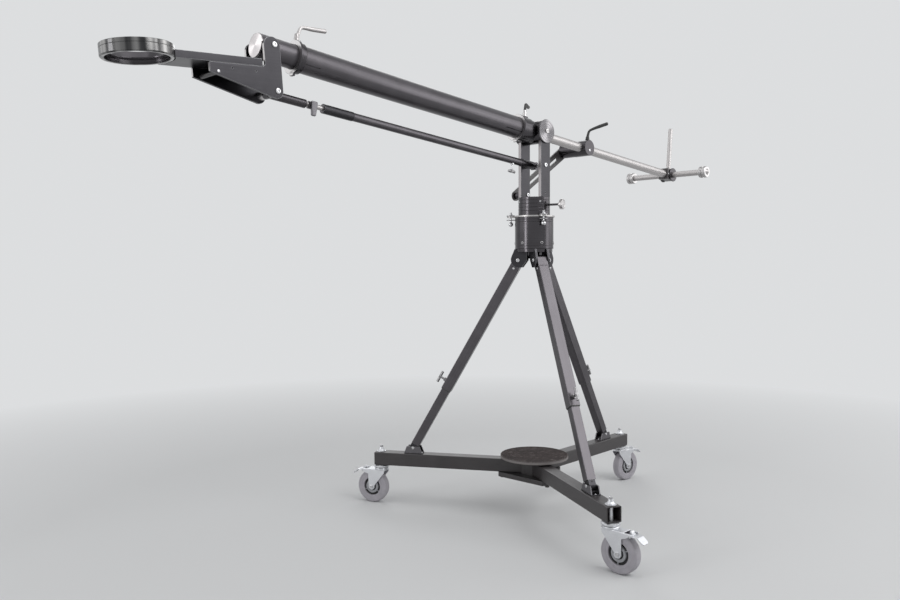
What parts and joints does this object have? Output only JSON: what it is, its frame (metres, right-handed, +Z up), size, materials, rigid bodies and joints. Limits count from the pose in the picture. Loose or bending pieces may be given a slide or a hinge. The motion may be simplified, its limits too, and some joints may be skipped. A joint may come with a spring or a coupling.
{
  "type": "camera jib crane",
  "caption": "Camera jib crane: a telescoping parallelogram boom on a pan post, carried by a tripod that is pinned to a three-wheel dolly, with a bowl for a camera head.",
  "frame": {"origin": "on the floor, under the middle of the part's box", "axes": "+Z up; the boom's camera end lies towards -X and its counterweight end towards +X; +Y completes the frame"},
  "size_m": [2.551, 1.2904, 1.6216],
  "materials": {
    "black_paint": "satin black paint on steel",
    "black_anodised": "black anodised aluminium, satin",
    "deck_grip": "grip sheet, black with fine pale grains",
    "bare_aluminium": "turned and polished aluminium",
    "turned_grey": "dark turned aluminium with a clear sheen",
    "zinc_plate": "bright zinc-plated steel",
    "wheel_rubber": "light grey wheel, satin"
  },
  "bodies": {
    "dolly": {"hub": "black_paint", "deck_disc": "deck_grip", "dolly_arm_front": "black_paint", "foot_bracket_front": "black_paint", "caster_stem_front": "zinc_plate", "dolly_arm_rear": "black_paint", "foot_bracket_rear": "black_paint", "caster_stem_rear": "zinc_plate", "dolly_arm_left": "black_paint", "foot_bracket_left": "black_paint", "caster_stem_left": "zinc_plate"},
    "crown": {"crown": "black_anodised", "riser": "black_anodised", "tie_down_plate": "turned_grey", "pan_base": "black_anodised"},
    "pan": {"pan_head": "black_anodised", "upright_near": "black_anodised", "upright_far": "black_anodised", "pivot_axle": "black_anodised"},
    "pan_knob": {"pan_knob": "bare_aluminium"},
    "boom": {"pivot_block": "black_anodised", "outer_tube": "black_anodised", "front_collar": "black_anodised", "tail_bar": "bare_aluminium", "tail_block": "black_paint", "weight_spindle": "bare_aluminium"},
    "boom_inner": {"inner_tube": "black_anodised"},
    "platform": {"side_plate_near": "black_anodised", "side_plate_far": "black_anodised", "camera_arm": "black_anodised", "bowl_ring": "turned_grey"},
    "level_tube": {"level_tube": "black_anodised"},
    "level_rod": {"level_rod": "bare_aluminium"},
    "level_knob_rear": {"level_knob_rear": "black_paint"},
    "level_knob_front": {"level_knob_front": "black_paint"},
    "rear_lever": {"rear_lever": "black_paint"},
    "front_lever": {"front_lever": "bare_aluminium"},
    "strut_lever": {"strut_lever": "black_paint"},
    "strut": {"strut": "black_paint"},
    "strut_clamp": {"strut_clamp": "black_anodised"},
    "retainer_near": {"retainer_near": "bare_aluminium"},
    "retainer_far": {"retainer_far": "bare_aluminium"},
    "caster_front": {"caster_fork_front": "zinc_plate"},
    "wheel_front": {"caster_wheel_front": "wheel_rubber"},
    "pedal_front": {"brake_pedal_front": "zinc_plate"},
    "upper_leg_front": {"upper_leg_front": "black_anodised"},
    "lower_leg_front": {"lower_leg_front": "black_anodised"},
    "leg_lock_front": {"leg_lock_front": "turned_grey"},
    "caster_rear": {"caster_fork_rear": "zinc_plate"},
    "wheel_rear": {"caster_wheel_rear": "wheel_rubber"},
    "pedal_rear": {"brake_pedal_rear": "zinc_plate"},
    "upper_leg_rear": {"upper_leg_rear": "black_anodised"},
    "lower_leg_rear": {"lower_leg_rear": "black_anodised"},
    "leg_lock_rear": {"leg_lock_rear": "turned_grey"},
    "caster_left": {"caster_fork_left": "zinc_plate"},
    "wheel_left": {"caster_wheel_left": "wheel_rubber"},
    "pedal_left": {"brake_pedal_left": "zinc_plate"},
    "upper_leg_left": {"upper_leg_left": "black_anodised"},
    "lower_leg_left": {"lower_leg_left": "black_anodised"},
    "leg_lock_left": {"leg_lock_left": "turned_grey"}
  },
  "joints": [
    {"name": "caster_swivel_front", "type": "hinge", "parent": "dolly", "child": "caster_front", "pos_m": [0.02404, -0.52261, 0], "axis": [0, 0, 1], "continuous": true},
    {"name": "wheel_spin_front", "type": "hinge", "parent": "caster_front", "child": "wheel_front", "pos_m": [0.0256, -0.55857, 0.06319], "axis": [0.999, 0.0436, 0], "continuous": true},
    {"name": "brake_press_front", "type": "hinge", "parent": "caster_front", "child": "pedal_front", "pos_m": [0.02731, -0.59754, 0.1245], "axis": [0.999, 0.0436, 0], "range_deg": [0, 12]},
    {"name": "caster_swivel_rear", "type": "hinge", "parent": "dolly", "child": "caster_rear", "pos_m": [0.90928, 0.04135, 0], "axis": [0, 0, 1], "continuous": true},
    {"name": "wheel_spin_rear", "type": "hinge", "parent": "caster_rear", "child": "wheel_rear", "pos_m": [0.94497, 0.03665, 0.06319], "axis": [0.1305, 0.9914, 0], "continuous": true},
    {"name": "brake_press_rear", "type": "hinge", "parent": "caster_rear", "child": "pedal_rear", "pos_m": [0.98364, 0.03156, 0.1245], "axis": [0.1305, 0.9914, 0], "range_deg": [0, 12]},
    {"name": "caster_swivel_left", "type": "hinge", "parent": "dolly", "child": "caster_left", "pos_m": [-0.02175, 0.52602, 0], "axis": [0, 0, 1], "continuous": true},
    {"name": "wheel_spin_left", "type": "hinge", "parent": "caster_left", "child": "wheel_left", "pos_m": [-0.03553, 0.55927, 0.06319], "axis": [-0.9239, -0.3827, 0], "continuous": true},
    {"name": "brake_press_left", "type": "hinge", "parent": "caster_left", "child": "pedal_left", "pos_m": [-0.05045, 0.59531, 0.1245], "axis": [-0.9239, -0.3827, 0], "range_deg": [0, 12]},
    {"name": "crown_lift", "type": "slide", "parent": "dolly", "child": "crown", "axis": [0, 0, 1], "range_m": [0, 0.1]},
    {"name": "leg_swing_front", "type": "hinge", "parent": "crown", "child": "upper_leg_front", "pos_m": [0.27749, -0.03573, 0.9545], "axis": [0.887, -0.4617, 0], "range_deg": [-0.2, 3.4]},
    {"name": "leg_slide_front", "type": "slide", "parent": "upper_leg_front", "child": "lower_leg_front", "axis": [-0.2285, -0.439, -0.869], "range_m": [-0.001, 0.089]},
    {"name": "leg_lock_turn_front", "type": "hinge", "parent": "upper_leg_front", "child": "leg_lock_front", "pos_m": [0.14622, -0.2879, 0.49382], "axis": [-0.4012, -0.7708, 0.4949], "range_deg": [-90, 90]},
    {"name": "leg_swing_rear", "type": "hinge", "parent": "crown", "child": "upper_leg_rear", "pos_m": [0.3609, 0.01741, 0.9545], "axis": [-0.0436, 0.999, 0], "range_deg": [-0.2, 3.4]},
    {"name": "leg_slide_rear", "type": "slide", "parent": "upper_leg_rear", "child": "lower_leg_rear", "axis": [0.4944, 0.0216, -0.869], "range_m": [-0.001, 0.089]},
    {"name": "leg_lock_turn_rear", "type": "hinge", "parent": "upper_leg_rear", "child": "leg_lock_rear", "pos_m": [0.64492, 0.02981, 0.49382], "axis": [0.8681, 0.0379, 0.4949], "range_deg": [-90, 90]},
    {"name": "leg_swing_left", "type": "hinge", "parent": "crown", "child": "upper_leg_left", "pos_m": [0.27318, 0.06308, 0.9545], "axis": [-0.8434, -0.5373, 0], "range_deg": [-0.2, 3.4]},
    {"name": "leg_slide_left", "type": "slide", "parent": "upper_leg_left", "child": "lower_leg_left", "axis": [-0.2659, 0.4174, -0.869], "range_m": [-0.001, 0.089]},
    {"name": "leg_lock_turn_left", "type": "hinge", "parent": "upper_leg_left", "child": "leg_lock_left", "pos_m": [0.12043, 0.30285, 0.49382], "axis": [-0.4669, 0.7329, 0.4949], "range_deg": [-90, 90]},
    {"name": "pan", "type": "hinge", "parent": "crown", "child": "pan", "pos_m": [0.30385, 0.01492, 0], "axis": [0, 0, 1], "continuous": true},
    {"name": "pan_drag_turn", "type": "hinge", "parent": "pan", "child": "pan_knob", "pos_m": [0.32105, -0.04131, 1.159], "axis": [0.2924, -0.9563, 0], "range_deg": [-360, 360]},
    {"name": "boom_tilt", "type": "hinge", "parent": "pan", "child": "boom", "pos_m": [0.30385, 0.01492, 1.4263], "axis": [0, 1, 0], "range_deg": [-25, 26]},
    {"name": "boom_extend", "type": "slide", "parent": "boom", "child": "boom_inner", "axis": [-0.9957, 0, 0.0922], "range_m": [-0.02, 0.3]},
    {"name": "platform_level", "type": "hinge", "parent": "boom_inner", "child": "platform", "pos_m": [-0.83497, 0.01492, 1.53174], "axis": [0, 1, 0], "range_deg": [-26.5, 25.5]},
    {"name": "level_tube_swing", "type": "hinge", "parent": "pan", "child": "level_tube", "pos_m": [0.30385, 0.01492, 1.3041], "axis": [0, 1, 0], "range_deg": [-25.7, 26.7]},
    {"name": "level_rod_slide", "type": "slide", "parent": "level_tube", "child": "level_rod", "axis": [-0.9956, 0, 0.0933], "range_m": [-0.021, 0.301]},
    {"name": "strut_swing", "type": "hinge", "parent": "pan", "child": "strut", "pos_m": [0.31685, 0.01492, 1.2013], "axis": [0, 1, 0], "range_deg": [-28, 29]},
    {"name": "clamp_slide", "type": "slide", "parent": "boom", "child": "strut_clamp", "axis": [0.9957, 0, -0.0922], "range_m": [-0.103, 0.107]},
    {"name": "rear_lever_turn", "type": "hinge", "parent": "boom", "child": "rear_lever", "pos_m": [0.24854, 0.01492, 1.47963], "axis": [0.0922, 0, 0.9957], "range_deg": [-60, 60]},
    {"name": "front_lever_turn", "type": "hinge", "parent": "boom", "child": "front_lever", "pos_m": [-0.73227, 0.01492, 1.57044], "axis": [0.0922, 0, 0.9957], "range_deg": [-90, 90]},
    {"name": "strut_lever_turn", "type": "hinge", "parent": "strut_clamp", "child": "strut_lever", "pos_m": [0.60942, -0.00308, 1.42914], "axis": [0.0922, 0, 0.9957], "range_deg": [-60, 60]},
    {"name": "level_knob_rear_turn", "type": "hinge", "parent": "level_tube", "child": "level_knob_rear", "pos_m": [0.17983, 0.01492, 1.29895], "axis": [0.0933, 0, 0.9956], "range_deg": [-180, 180]},
    {"name": "level_knob_front_turn", "type": "hinge", "parent": "level_rod", "child": "level_knob_front", "pos_m": [-0.6888, 0.00392, 1.39709], "axis": [0, 1, 0], "range_deg": [-180, 180]},
    {"name": "retainer_slide_near", "type": "slide", "parent": "boom", "child": "retainer_near", "axis": [0, 1, 0], "range_m": [-0.003, 0.12]},
    {"name": "retainer_slide_far", "type": "slide", "parent": "boom", "child": "retainer_far", "axis": [0, 1, 0], "range_m": [-0.135, 0.003]}
  ],
  "couplings": [
    {"joint": "leg_swing_front", "follows": "crown_lift", "rad_per_m": 0.54344},
    {"joint": "leg_slide_front", "follows": "crown_lift", "ratio": 0.88086},
    {"joint": "leg_swing_rear", "follows": "crown_lift", "rad_per_m": 0.54344},
    {"joint": "leg_slide_rear", "follows": "crown_lift", "ratio": 0.88086},
    {"joint": "leg_swing_left", "follows": "crown_lift", "rad_per_m": 0.54344},
    {"joint": "leg_slide_left", "follows": "crown_lift", "ratio": 0.88086},
    {"joint": "platform_level", "follows": "boom_tilt", "ratio": -1},
    {"joint": "level_tube_swing", "follows": "boom_tilt", "ratio": 1.0065},
    {"joint": "level_rod_slide", "follows": "boom_extend", "ratio": 1},
    {"joint": "strut_swing", "follows": "boom_tilt", "ratio": 1.085},
    {"joint": "clamp_slide", "follows": "boom_tilt", "m_per_rad": 0.2335}
  ]
}
